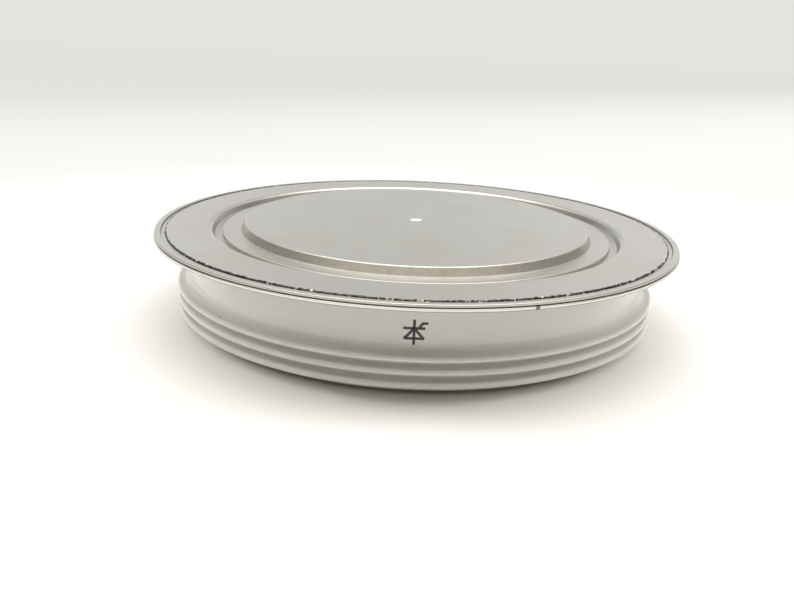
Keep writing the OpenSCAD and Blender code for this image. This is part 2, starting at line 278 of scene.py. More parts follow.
def bar_cutter(sizes, radius, y0, y1):
    """A round bar on the gate tube's axis, for cutting."""
    bpy.ops.object.select_all(action="DESELECT")
    bpy.ops.mesh.primitive_cylinder_add(vertices=64, radius=radius, depth=y1 - y0,
                                        location=(0, (y0 + y1) / 2, sizes.gate_z), rotation=(math.pi / 2, 0, 0))
    return bpy.context.object


# Finishes: shader arithmetic written as expressions


class Value:
    """A number socket that takes part in arithmetic: each operation adds its Math node."""

    def __init__(self, finish, socket):
        self.finish = finish
        self.socket = socket

    def math(self, operation, *others):
        """A Math node on this value and the others."""
        return self.finish.node("ShaderNodeMath", {"operation": operation}, self, *others)

    def __add__(self, other):
        return self.math("ADD", other)

    def __sub__(self, other):
        return self.math("SUBTRACT", other)

    def __rsub__(self, other):
        return self.finish.node("ShaderNodeMath", {"operation": "SUBTRACT"}, other, self)

    def __mul__(self, other):
        return self.math("MULTIPLY", other)

    def __truediv__(self, other):
        return self.math("DIVIDE", other)

    def __lt__(self, other):
        return self.math("LESS_THAN", other)

    def __gt__(self, other):
        return self.math("GREATER_THAN", other)

    __radd__ = __add__
    __rmul__ = __mul__

    def away(self):
        """Distance from zero."""
        return self.math("ABSOLUTE")

    def reach(self, other):
        """Length of the line with these two legs."""
        return (self * self + other * other).math("SQRT")

    def between(self, low, high):
        """A soft step: 0 below low, 1 above high."""
        return self.finish.node("ShaderNodeMapRange", {"interpolation_type": "SMOOTHSTEP", "clamp": True},
                                self, low, high, 0.0, 1.0)

    def band(self, low, low_full, high_full, high):
        """A soft band: 1 from low_full to high_full, 0 below low and above high."""
        return self.between(low, low_full) * (1.0 - self.between(high_full, high))

    def near(self, centre, full, none):
        """A soft window: 1 within full of the centre, 0 beyond none."""
        return 1.0 - (self - centre).away().between(full, none)


class Finish:
    """A procedural material or world under construction."""

    def __init__(self, owner):
        owner.use_nodes = True
        self.owner = owner
        self.tree = owner.node_tree
        self.tree.nodes.clear()

    def node(self, kind, settings=None, *values, out=0, **named):
        """Adds a node: settings first, then the values or links of its sockets, by order or by name."""
        node = self.tree.nodes.new(kind)
        for key, value in (settings or {}).items():
            setattr(node, key, value)
        sockets = [(node.inputs[i], value) for i, value in enumerate(values)]
        sockets += [(node.inputs[key.replace("_", " ")], value) for key, value in named.items()]
        for socket, value in sockets:
            if value is None:
                continue
            if isinstance(value, Value):
                self.tree.links.new(value.socket, socket)
            elif socket.type == "RGBA":
                socket.default_value = (*value, 1.0)
            else:
                socket.default_value = value
        return Value(self, node.outputs[out])

    def spot(self):
        """Object coordinates."""
        return self.node("ShaderNodeTexCoord", {}, out="Object")

    def parts(self, vector):
        """The three parts of a vector."""
        split = self.node("ShaderNodeSeparateXYZ", {}, vector).socket.node
        return [Value(self, output) for output in split.outputs]

    def place(self):
        """Object coordinates and their three parts."""
        spot = self.spot()
        return (spot, *self.parts(spot))

    def noise(self, spot, scale, detail=2.0, roughness=0.5, distortion=0.0, stretch=None):
        """Fractal noise from 0 to 1, with an optional stretch of its grain."""
        if stretch:
            spot = self.node("ShaderNodeMapping", {}, spot, Scale=stretch)
        return self.node("ShaderNodeTexNoise", {}, Vector=spot, Scale=scale, Detail=detail,
                         Roughness=roughness, Distortion=distortion)

    def cells(self, spot, scale, out):
        """Distance to, or colour of, scattered points."""
        return self.node("ShaderNodeTexVoronoi", {}, Vector=spot, Scale=scale, out=out)

    def blend(self, share, first, second):
        """Colour that goes from the first to the second with the share."""
        unused = (None,) * 5  # the node's sockets for other kinds of data
        return self.node("ShaderNodeMix", {"data_type": "RGBA"}, share, *unused, first, second, out=2)

    def bump(self, height, distance, strength):
        """A normal from a height, in metres."""
        return self.node("ShaderNodeBump", {}, Strength=strength, Distance=distance, Height=height)

    def surface(self, **named):
        """Ends a material in a Principled surface."""
        shader = self.node("ShaderNodeBsdfPrincipled", {}, **named)
        self.node_out(shader)
        return self.owner

    def node_out(self, shader):
        """Ends a material in this shader."""
        end = self.tree.nodes.new("ShaderNodeOutputMaterial")
        self.tree.links.new(shader.socket, end.inputs["Surface"])


def new_finish(name):
    """An empty procedural material of this name."""
    return Finish(bpy.data.materials.new(name))


def dots(finish, spot, scale, size, share):
    """Scattered round dots: a share of the cells holds one, of about this size."""
    near = finish.cells(spot, scale, "Distance")
    pick = finish.node("ShaderNodeSeparateColor", {}, finish.cells(spot, scale, "Color"))
    return (near < pick * size) * (pick > 1.0 - share)


def nickel_finish(name, shade, tarnish, sizes=None):
    """Satin nickel: fine blasted grain, clouds and dust, and on a pole a mottled wall and a hole mouth with a
    painted highlight.
    """
    finish = new_finish(name)
    spot, x, y, _ = finish.place()
    grain = finish.noise(spot, 3200.0, 2.0, 0.6)
    cloud = finish.noise(spot, 60.0, 3.0, 0.55)
    streak = finish.noise(spot, 900.0, 2.0, 0.5, stretch=(0.06, 1.0, 1.0))
    dust = dots(finish, spot, 110.0, 0.055, 0.10)
    tint = finish.blend((cloud - 0.5) * 0.35 + 0.10, shade, tarnish)
    metal = 1.0
    if sizes:
        radius = x.reach(y)
        top_r, foot_r = sizes.contact_r, sizes.contact_r + sizes.boss_draft
        mottle = finish.noise(spot, 700.0, 3.0, 0.65).between(0.38, 0.70)
        wall = radius.band(top_r - 0.3 * MM, top_r, foot_r, foot_r + 0.1 * MM)
        tint = finish.blend(wall * mottle * 0.35, tint, tarnish)
        # painted highlight: the hole's mouth is matt near-white instead of metal, standing in for the bright
        # reflection inside the hole
        mouth = radius < sizes.hole_r
        tint = finish.blend(mouth, tint, (0.93, 0.93, 0.92))
        metal = 1.0 - mouth
    tint = finish.blend(dust * 0.45, tint, (0.12, 0.11, 0.10))
    rough = 0.35 + cloud * 0.06 + (grain - 0.5) * 0.10 + (streak - 0.5) * 0.05 + dust * 0.2
    bumps = finish.bump(grain * 0.7 + streak * 0.3, 0.004 * MM, 0.6)
    return finish.surface(Base_Color=tint, Metallic=metal, Roughness=rough, Normal=bumps)


def sheet_finish(name, shade, tarnish, sizes):
    """Nickel-plated sheet: fine grain, turning marks, rub marks, painted shade in the groove and on the channel
    walls, a painted highlight on the lip.
    """
    finish = new_finish(name)
    spot, x, y, z = finish.place()
    radius = x.reach(y)
    flange_z = sizes.top - sizes.contact_proud
    seam_z = flange_z - sizes.sheet_t
    grain = finish.noise(spot, 2600.0, 2.0, 0.6)
    cloud = finish.noise(spot, 45.0, 3.0, 0.55)
    rings = finish.noise(finish.node("ShaderNodeCombineXYZ", {}, radius, 0.0, z), 1500.0, 2.0, 0.6)
    rubs = finish.noise(spot, 1300.0, 3.0, 0.7, 0.8, stretch=(1.0, 0.22, 1.0))
    rub = rubs.between(0.60, 0.72) * rub_mask(x, y, radius)
    dust = dots(finish, spot, 130.0, 0.05, 0.08)
    # painted shade: masks of the weld groove's two walls, darkened as the shade that falls in the groove
    half = GROOVE_SLOPE / 2
    inner, outer = (radius.near(wall_r, half, 0.14 * MM)
                    for wall_r in (sizes.seam_r + half, sizes.seam_r + sizes.seam_w - half))
    groove = inner.math("MAXIMUM", outer) * (z > flange_z - sizes.seam_depth - 0.02 * MM)
    beside = (x / radius).away().between(0.82, 0.98)  # at the left and right, not at the front or back
    # painted shade: the channel's outer wall is darkened at the left and right, standing in for the dark
    # surroundings it mirrors there
    channel = radius.band(*CHANNEL_SHADE_BAND) * beside
    rim = radius.between(sizes.flange_r - 0.6 * MM, sizes.flange_r - 0.3 * MM)
    # painted highlight: the lower rim's lip is lightened as if it caught the bright floor
    lip = rim * (1.0 - z.between(seam_z - 0.20 * MM, seam_z - 0.12 * MM))
    # painted shade: the foot of that lip is darkened as the shadow under the rim
    foot = lip * (1.0 - z.between(seam_z - 0.82 * MM, seam_z - 0.72 * MM))
    # painted shade: a dark spot on the lip stands in for the shade in a nick of the rim
    nick = lip * (1.0 - (x - NICK_X).reach(y - NICK_Y).between(0.35 * MM, 0.70 * MM))
    tint = finish.blend((cloud - 0.5) * 0.35 + 0.12, shade, tarnish)
    # painted light in this table: shade on the channel wall, a highlight on the lip, shade at its foot, in the
    # nick and in the groove; rub marks and dust are the sheet's own
    for share, mark in (
        (channel * 0.62, (0.16, 0.155, 0.145)), (lip * 0.75, (0.86, 0.84, 0.79)),
        (foot * 0.85, (0.08, 0.077, 0.07)), (nick * 0.8, (0.05, 0.048, 0.044)),
        (groove * 0.70, (0.10, 0.097, 0.092)), (rub * 0.55, (0.20, 0.18, 0.16)),
        (dust * 0.4, (0.12, 0.11, 0.10)),
    ):
        tint = finish.blend(share, tint, mark)
    rough = 0.35 + cloud * 0.06 + (grain - 0.5) * 0.10 + (rings - 0.5) * 0.06 + rub * 0.15
    bumps = finish.bump(grain * 0.6 + rings * 0.4, 0.004 * MM, 0.6)
    return finish.surface(Base_Color=tint, Metallic=1.0, Roughness=rough, Normal=bumps)


def rub_mask(x, y, radius):
    """The worn patch on the front right of the flange ring."""
    return (x.near(30.5 * MM, 3.0 * MM, 6.5 * MM) * radius.near(65.0 * MM, 0.4 * MM, 2.0 * MM)
            * y.near(-57.0 * MM, 4.0 * MM, 9.0 * MM))


def seam_finish(name, shade):
    """Torn metal, dark partly from its torn surface and partly as painted shade in the groove, with painted
    glints on its burrs.
    """
    finish = new_finish(name)
    spot = finish.spot()
    tear = finish.noise(spot, 1900.0, 3.0, 0.65)
    burr_glint = finish.noise(spot, 700.0, 2.0, 0.5).between(0.58, 0.64)
    # painted shade: the tears are darkened as the shade in the weld groove
    tint = finish.blend(tear.between(0.40, 0.75), (0.03, 0.029, 0.027), shade)
    # painted glint: bright specks on the burrs
    tint = finish.blend(burr_glint, tint, (0.92, 0.90, 0.86))
    rough = 0.30 + tear * 0.25
    return finish.surface(Base_Color=tint, Metallic=1.0, Roughness=rough,
                          Normal=finish.bump(tear, 0.12 * MM, 0.8))


def ceramic_finish(name, shade, grime):
    """White glaze: soft tone clouds, pin-holes, faint handling marks that lie along the ribs."""
    finish = new_finish(name)
    spot = finish.spot()
    cloud = finish.noise(spot, 35.0, 3.0, 0.5)
    ripple = finish.noise(spot, 240.0, 2.0, 0.5)
    mark = finish.noise(spot, 160.0, 4.0, 0.65, 0.4, stretch=(0.35, 0.35, 1.4)).between(0.58, 0.78)
    pins = dots(finish, spot, 150.0, 0.07, 0.05)
    tint = finish.blend((cloud - 0.35).math("MAXIMUM", 0.0) * 0.25, shade, grime)
    tint = finish.blend(mark * 0.16, tint, grime)
    tint = finish.blend(pins * 0.55, tint, (0.10, 0.09, 0.08))
    rough = 0.34 + cloud * 0.08 + mark * 0.12
    bumps = finish.bump(ripple, 0.010 * MM, 0.4)
    return finish.surface(Base_Color=tint, Roughness=rough, Normal=bumps, Coat_Weight=0.45,
                          Coat_Roughness=0.13, IOR=1.55)


def ink_finish(name, shade):
    """Matt grey ink with a grainy, slightly broken surface."""
    finish = new_finish(name)
    spot = finish.spot()
    grain = finish.noise(spot, 2400.0, 2.0, 0.6)
    tint = finish.blend(grain.between(0.35, 0.85) * 0.5, shade, scaled(shade, 2.4))
    return finish.surface(Base_Color=tint, Roughness=0.55 + grain * 0.2,
                          Normal=finish.bump(grain, 0.006 * MM, 0.5))


def tin_finish(name, shade):
    """Tinned strip: rolled grain along its length and dull clouds."""
    finish = new_finish(name)
    spot = finish.spot()
    roll = finish.noise(spot, 2600.0, 3.0, 0.6, stretch=(1.0, 0.05, 1.0))
    cloud = finish.noise(spot, 300.0, 3.0, 0.6)
    tint = finish.blend(cloud.between(0.3, 0.8) * 0.4, shade, scaled(shade, 0.72))
    return finish.surface(Base_Color=tint, Metallic=1.0, Roughness=0.28 + roll * 0.14 + cloud * 0.08,
                          Normal=finish.bump(roll, 0.006 * MM, 0.7))


def plain_finish(name, shade, metallic, roughness, grain_scale):
    """Finish of a sealed piece: its own colour with a fine grain."""
    finish = new_finish(name)
    spot = finish.spot()
    grain = finish.noise(spot, grain_scale, 3.0, 0.6)
    tint = finish.blend(grain * 0.25, shade, scaled(shade, 0.7))
    return finish.surface(Base_Color=tint, Metallic=metallic, Roughness=roughness + (grain - 0.5) * 0.12,
                          Normal=finish.bump(grain, 0.005 * MM, 0.5))


# Sections that the two sides of the disc share


def pole_corners(sizes, inner_z, gate_top=None):
    """Section of a pole, contact face up, with its locating hole and, on the cathode side, the gate bore."""
    top, shoulder_z = sizes.top, sizes.top - sizes.boss_h
    floor_z = top - sizes.contact_proud - sizes.channel_depth
    hole_z = top - sizes.hole_depth
    throat_r, gate_r = sizes.hole_r - sizes.hole_lip, 6 * MM
    corners = [
        (0, hole_z), (throat_r, hole_z), (throat_r, top - sizes.hole_sink), (sizes.hole_r, top),
        (sizes.contact_r, top, 0.34 * MM), (sizes.contact_r + sizes.boss_draft, shoulder_z),
        (sizes.shoulder_r, shoulder_z, 0.28 * MM), (sizes.shoulder_r, floor_z),
        (sizes.pole_r, floor_z), (sizes.pole_r, inner_z, 0.30 * MM),
    ]
    if gate_top:
        return corners + [(gate_r, inner_z), (gate_r, gate_top), (0, gate_top)]
    return corners + [(0, inner_z)]


def flange_corners(sizes, outer_r, grooved):
    """Section of a formed flange: channel floor, sloping channel wall, outer flat with a rounded rim."""
    top = sizes.top - sizes.contact_proud
    floor_z, t = top - sizes.channel_depth, sizes.sheet_t
    hole_r, rim = sizes.pole_r + 0.2 * MM, 0.3 * MM
    floor_bend, bend, turn = 0.4 * MM, sizes.channel_bend, math.tan(sizes.channel_slope / 2)
    edge_r = sizes.channel_r - bend * turn
    foot_r = edge_r - sizes.channel_depth / math.tan(sizes.channel_slope)
    corners = [(hole_r, floor_z), (foot_r, floor_z, floor_bend * turn), (edge_r, top, bend * turn)]
    if grooved:
        inner, outer, low = sizes.seam_r, sizes.seam_r + sizes.seam_w, top - sizes.seam_depth
        corners += [(inner, top), (inner + GROOVE_SLOPE, low), (outer - GROOVE_SLOPE, low),
                    (outer, top, 0.08 * MM)]
    return corners + [
        (outer_r, top, rim), (outer_r, top - t, rim), (edge_r + t * turn, top - t, (bend - t) * turn),
        (foot_r + t * turn, floor_z - t, (floor_bend + t) * turn), (hole_r, floor_z - t),
    ]


class PieceMaker:
    """What the operators of this file share."""

    bl_options = {"REGISTER", "UNDO"}

    @property
    def sizes(self):
        return bpy.context.scene.disc_sizes

    @property
    def finishes(self):
        return bpy.context.scene.disc_finishes

    @property
    def studio(self):
        return bpy.context.scene.disc_studio


class DISC_OT_poles(PieceMaker, bpy.types.Operator):
    """Turns the two copper poles with their contact faces and locating holes"""

    bl_idname = "disc.poles"
    bl_label = "Poles"

    def execute(self, context):
        sizes, finishes = self.sizes, self.finishes
        plating = nickel_finish("satin_nickel", finishes.nickel, finishes.tarnish, sizes)
        contact_z, gate_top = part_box("cathode_pole")[0].z, sizes.top - 4.5 * MM
        anode_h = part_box("anode_pole")[1].z
        cathode = draw_outline("cathode_pole_turned", pole_corners(sizes, contact_z, gate_top))
        spin_outline(sizes.steps)
        anode = draw_outline("anode_pole_turned", flipped(pole_corners(sizes, sizes.top - anode_h), sizes.top))
        spin_outline(sizes.steps)
        for piece, node in ((cathode, "cathode_pole"), (anode, "anode_pole")):
            smooth(piece)
            hand_over(piece, "nickel_plate", plating, node)
        return {"FINISHED"}


class DISC_OT_flanges(PieceMaker, bpy.types.Operator):
    """Presses the two flanges and the weld ring from sheet"""

    bl_idname = "disc.flanges"
    bl_label = "Flanges"

    def execute(self, context):
        sizes, finishes = self.sizes, self.finishes
        sheet = sheet_finish("nickel_sheet", finishes.sheet, finishes.tarnish, sizes)
        upper_r = sizes.flange_r - RIM_SET_BACK
        upper = draw_outline("cathode_flange_pressed", flange_corners(sizes, upper_r, True))
        spin_outline(sizes.steps)
        lower = draw_outline("anode_flange_pressed",
                             flipped(flange_corners(sizes, sizes.anode_flange_r, False), sizes.top))
        spin_outline(sizes.steps)
        ring = draw_outline("weld_ring_pressed", self.weld_ring_corners())
        spin_outline(sizes.steps)
        for piece, node in ((upper, "cathode_flange"), (lower, "anode_flange"), (ring, "weld_ring")):
            smooth(piece)
            hand_over(piece, "nickel_sheet", sheet, node)
        return {"FINISHED"}

    def weld_ring_corners(self):
        """Section of the ring under the cathode flange: lower half of the weld groove, lip at the rim."""
        sizes = self.sizes
        seam_z = sizes.top - sizes.contact_proud - sizes.sheet_t
        base_z, gap_z = seam_z - sizes.sheet_t, seam_z - 0.18 * MM
        lip_z, groove_z = base_z - 0.24 * MM, base_z + 0.35 * MM
        hole_r, rim_r = sizes.bore_r + 0.4 * MM, sizes.flange_r
        inner, outer = sizes.seam_r, sizes.seam_r + sizes.seam_w
        return [
            (hole_r, base_z), (inner, base_z), (inner + GROOVE_SLOPE, groove_z),
            (outer - GROOVE_SLOPE, groove_z), (outer, base_z),
            (rim_r - 0.9 * MM, base_z), (rim_r - 0.5 * MM, lip_z, 0.1 * MM),
            (rim_r, lip_z, 0.14 * MM), (rim_r, gap_z, 0.22 * MM), (outer + 0.7 * MM, gap_z),
            (outer + 0.6 * MM, seam_z), (hole_r, seam_z),
        ]


class DISC_OT_weld_seam(PieceMaker, bpy.types.Operator):
    """Tears the inner edge of the weld groove"""

    bl_idname = "disc.weld_seam"
    bl_label = "Weld seam"

    def execute(self, context):
        sizes = self.sizes
        top, edge = sizes.top - sizes.contact_proud, sizes.seam_r
        low = top - sizes.seam_depth
        corners = [(edge - 0.34 * MM, top - 0.10 * MM), (edge - 0.28 * MM, top + 0.005 * MM),
                   (edge - 0.02 * MM, top + 0.03 * MM), (edge + 0.10 * MM, top - 0.10 * MM),
                   (edge + 0.17 * MM, top - 0.26 * MM), (edge + 0.20 * MM, low + 0.02 * MM),
                   (edge + 0.20 * MM, low - 0.10 * MM), (edge - 0.34 * MM, low - 0.10 * MM)]
        seam = draw_outline("weld_seam_torn", corners)
        spin_outline(SEAM_STEPS)
        exposed = seam.vertex_groups.new(name="exposed")
        for vertex in seam.data.vertices:
            if vertex.co.z > low - 0.05 * MM and math.hypot(vertex.co.x, vertex.co.y) > edge - 0.31 * MM:
                forward = -vertex.co.y / edge
                weight = min(1.0, max(0.3, 0.6 + 0.9 * (forward - 0.45)))  # torn most at the front
                exposed.add([vertex.index], weight, "REPLACE")
        for noise_scale, strength in ((0.9 * MM, 0.30 * MM), (0.32 * MM, 0.20 * MM)):
            texture = bpy.data.textures.new("tear", "CLOUDS")
            texture.noise_scale = noise_scale
            texture.noise_depth = 2
            apply_modifier(seam, "DISPLACE", texture=texture, texture_coords="LOCAL", strength=strength,
                           mid_level=0.52, vertex_group="exposed")
        activate(seam)
        bpy.ops.object.shade_flat()
        hand_over(seam, "nickel_sheet", seam_finish("torn_seam", self.finishes.seam))
        return {"FINISHED"}


class DISC_OT_ceramic_ring(PieceMaker, bpy.types.Operator):
    """Turns the ribbed ceramic ring and drills it for the gate tube"""

    bl_idname = "disc.ceramic_ring"
    bl_label = "Ceramic ring"

    def execute(self, context):
        sizes, finishes = self.sizes, self.finishes
        ring = draw_outline("ceramic_ring_glazed", self.corners())
        spin_outline(sizes.steps)
        spot_r, spot_y, past_y = 3.8 * MM, sizes.band_r - 0.9 * MM, sizes.band_r + 2 * MM
        cut(ring, bar_cutter(sizes, sizes.gate_tube_r, sizes.bore_r - 2 * MM, past_y))
        cut(ring, bar_cutter(sizes, spot_r, spot_y, past_y))
        smooth(ring)
        glaze = ceramic_finish("white_glaze", finishes.ceramic, finishes.grime)
        hand_over(ring, "white_ceramic", glaze, "ceramic_ring")
        return {"FINISHED"}

    def corners(self):
        """Section from the foot up: slanted foot, ribs and grooves, flare, plain band."""
        sizes = self.sizes
        base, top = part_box("ceramic_ring")[0].z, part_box("ceramic_ring")[1].z
        tip, groove = 0.999 * sizes.rib_tip_r, 0.999 * (sizes.rib_pitch / 2 - sizes.rib_tip_r)
        foot_r, last_z = 66 * MM, sizes.rib_z - 2 * sizes.rib_pitch
        corners = [(sizes.bore_r, base), (foot_r, base, 0.2 * MM),
                   (sizes.rib_r, last_z - 0.56 * MM, 0.555 * MM)]
        for i in (2, 1):
            rib = sizes.rib_z - i * sizes.rib_pitch
            upper, next_lower = rib + sizes.rib_tip_r, rib + sizes.rib_pitch - sizes.rib_tip_r
            corners += [(sizes.rib_r, upper, tip), (sizes.rib_root_r, upper, groove),
                        (sizes.rib_root_r, next_lower, groove), (sizes.rib_r, next_lower, tip)]
        flare_z = sizes.rib_z + sizes.rib_tip_r
        return corners + [(sizes.rib_r, flare_z, tip), (sizes.band_r, flare_z - 0.08 * MM, 1.9 * MM),
                          (sizes.band_r, top, 0.4 * MM), (sizes.bore_r, top)]


class DISC_OT_gate(PieceMaker, bpy.types.Operator):
    """Makes the gate tube and its eyelet in the ceramic"""

    bl_idname = "disc.gate"
    bl_label = "Gate feedthrough"

    def execute(self, context):
        sizes, finishes = self.sizes, self.finishes
        metal = nickel_finish("gate_nickel", finishes.nickel, finishes.tarnish)
        start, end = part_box("gate_tube")[0].y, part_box("gate_tube")[1].y
        radius, place = sizes.gate_tube_r, along_gate(sizes.gate_z)
        centre, axis = (0, 0, sizes.gate_z), (0, 1, 0)
        bore_r, plug_y = 1.05 * MM, end - 1.0 * MM
        tube = draw_outline("gate_tube_closed", [
            (bore_r, start), (radius, start, 0.15 * MM), (radius, end, 0.6 * MM), (0.55 * MM, end, 0.1 * MM),
            (0.45 * MM, end + 0.3 * MM, 0.1 * MM), (0, end + 0.36 * MM), (0, plug_y), (bore_r, plug_y),
        ], place)
        spin_outline(TUBE_STEPS, centre, axis)
        low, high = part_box("gate_eyelet")
        eyelet = draw_outline("gate_eyelet_rolled", [
            (radius, low.y), (high.x, low.y, 0.1 * MM), (high.x, low.y + 0.45 * MM, 0.15 * MM),
            (radius + 0.5 * MM, high.y, 0.2 * MM), (radius, high.y),
        ], place)
        spin_outline(EYE_STEPS, centre, axis)
        smooth(tube)
        smooth(eyelet)
        hand_over(tube, "gate_metal", metal, "gate_tube", "gate_lead")
        hand_over(eyelet, "gate_metal", metal, "gate_eyelet")
        return {"FINISHED"}


class DISC_OT_tabs(PieceMaker, bpy.types.Operator):
    """Stamps the gate tab and the auxiliary cathode tab"""

    bl_idname = "disc.tabs"
    bl_label = "Terminal tabs"

    def execute(self, context):
        sizes, finishes = self.sizes, self.finishes
        tin = tin_finish("tinned_strip", finishes.tin)
        gate = self.blade("gate_tab_stamped", *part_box("gate_tab"), width=2.8 * MM)
        eye_y, eye_r, eye_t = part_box("gate_tab")[0].y, 3.0 * MM, 0.5 * MM
        eye = draw_outline("gate_eye", [
            (sizes.gate_tube_r, eye_y), (eye_r, eye_y, 0.08 * MM), (eye_r, eye_y + eye_t, 0.08 * MM),
            (sizes.gate_tube_r, eye_y + eye_t)], along_gate(sizes.gate_z))
        spin_outline(EYE_STEPS, (0, 0, sizes.gate_z), (0, 1, 0))
        apply_modifier(gate, "BOOLEAN", operation="UNION", object=eye, solver="EXACT")
        bpy.data.objects.remove(eye)
        cut(gate, bar_cutter(sizes, sizes.gate_tube_r, eye_y - MM, eye_y + 0.49 * MM))
        auxiliary = self.blade("auxiliary_cathode_tab_stamped", *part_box("auxiliary_cathode_tab"),
                               width=4.8 * MM)
        for piece, node in ((gate, "gate_tab"), (auxiliary, "auxiliary_cathode_tab")):
            smooth(piece)
            hand_over(piece, "tab_metal", tin, node)
        return {"FINISHED"}

    def blade(self, name, low, high, width):
        """A flat blade with a tapered nose, a detent hole and broken edges, on top of the tab's box."""
        middle, nose, thick = (low.x + high.x) / 2, 0.8 * MM, 0.5 * MM
        half, z = width / 2, high.z - thick
        blade = draw_outline(name, [
            (middle - half, low.y), (middle + half, low.y), (middle + half, high.y - nose, 0.2 * MM),
            (middle + half - nose, high.y, 0.2 * MM), (middle - half + nose, high.y, 0.2 * MM),
            (middle - half, high.y - nose, 0.2 * MM)], lambda x, y: Vector((x, y, z)))
        bpy.ops.mesh.select_all(action="SELECT")
        bpy.ops.mesh.extrude_region_move(TRANSFORM_OT_translate={"value": (0, 0, thick)})
        close_mesh()
        bpy.ops.object.mode_set(mode="OBJECT")
        bpy.ops.object.select_all(action="DESELECT")
        bpy.ops.mesh.primitive_cylinder_add(vertices=48, radius=0.65 * MM, depth=4 * thick,
                                            location=(middle, high.y - 3 * MM, z))
        cut(blade, bpy.context.object)
        apply_modifier(blade, "BEVEL", width=0.07 * MM, segments=3, limit_method="ANGLE",
                       angle_limit=math.radians(50))
        return blade


class DISC_OT_symbol(PieceMaker, bpy.types.Operator):
    """Prints the circuit symbol of a thyristor on the ceramic band"""

    bl_idname = "disc.symbol"
    bl_label = "Circuit symbol"

    stroke_w = 0.62 * MM
    centre = (0.7 * MM, 15.4 * MM)
    strokes = (
        ((0, -2.8), (0, 2.8)), ((-2.3, 0.9), (2.3, 0.9)), ((-2.1, -1.5), (2.1, -1.5)),
        ((-2.1, -1.5), (-0.1, 0.8)), ((2.1, -1.5), (0.1, 0.8)), ((1.0, 1.0), (1.9, 2.1)),
        ((1.8, 2.1), (2.9, 2.1)),
    )

    def execute(self, context):
        symbol = self.draw_strokes()
        symbol.name = symbol.data.name = "thyristor_symbol_ink"
        ring = bpy.data.objects["ceramic_ring_glazed"]
        apply_modifier(symbol, "SHRINKWRAP", target=ring, wrap_method="PROJECT", use_project_y=True,
                       use_project_x=False, use_project_z=False, use_positive_direction=True,
                       use_negative_direction=False, offset=0.025 * MM)
        apply_modifier(symbol, "SOLIDIFY", thickness=0.02 * MM, offset=-1.0)
        hand_over(symbol, "white_ceramic", ink_finish("marking_ink", self.finishes.ink))
        return {"FINISHED"}

    def draw_strokes(self):
        """One flat grid per stroke, standing in front of the band, joined into one piece."""
        made = []
        for (x0, z0), (x1, z1) in self.strokes:
            run, rise = (x1 - x0) * MM, (z1 - z0) * MM
            reach = math.hypot(run, rise) + 0.5 * self.stroke_w
            bpy.ops.object.select_all(action="DESELECT")
            bpy.ops.mesh.primitive_grid_add(x_subdivisions=max(4, round(reach / (0.25 * MM))),
                                            y_subdivisions=3, size=1.0)
            stroke = bpy.context.object
            spot = Vector((self.centre[0] + (x0 + x1) / 2 * MM, -80 * MM, self.centre[1] + (z0 + z1) / 2 * MM))
            stroke.data.transform(Matrix.Translation(spot)
                                  @ Matrix.Rotation(-math.atan2(rise, run), 4, "Y")
                                  @ Matrix.Rotation(math.pi / 2, 4, "X")
                                  @ Matrix.Diagonal((reach, self.stroke_w, 1.0, 1.0)))
            made.append(stroke)
        bpy.ops.object.select_all(action="DESELECT")
        for stroke in made:
            stroke.select_set(True)
        bpy.context.view_layer.objects.active = made[0]
        bpy.ops.object.join()
        return made[0]


class DISC_OT_sealed_pieces(PieceMaker, bpy.types.Operator):
    """Gives the sealed pieces inside the housing their finishes"""

    bl_idname = "disc.sealed_pieces"
    bl_label = "Sealed pieces"

    def execute(self, context):
        made = {
            "molybdenum": plain_finish("lapped_molybdenum", (0.42, 0.42, 0.44), 1.0, 0.35, 900.0),
            "silicon": plain_finish("polished_silicon", (0.20, 0.21, 0.26), 0.8, 0.12, 300.0),
            "silicone_rubber": plain_finish("silicone_rubber", (0.74, 0.73, 0.70), 0.0, 0.55, 700.0),
            "white_plastic": plain_finish("white_fluoropolymer", (0.84, 0.84, 0.82), 0.0, 0.45, 500.0),
            "spring_steel": plain_finish("spring_steel", (0.50, 0.50, 0.50), 1.0, 0.30, 1500.0),
        }
        for node, slot in HIDDEN_SLOTS.items():
            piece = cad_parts[node]
            piece.data.materials.clear()
            piece.data.materials.append(made[slot])
        return {"FINISHED"}


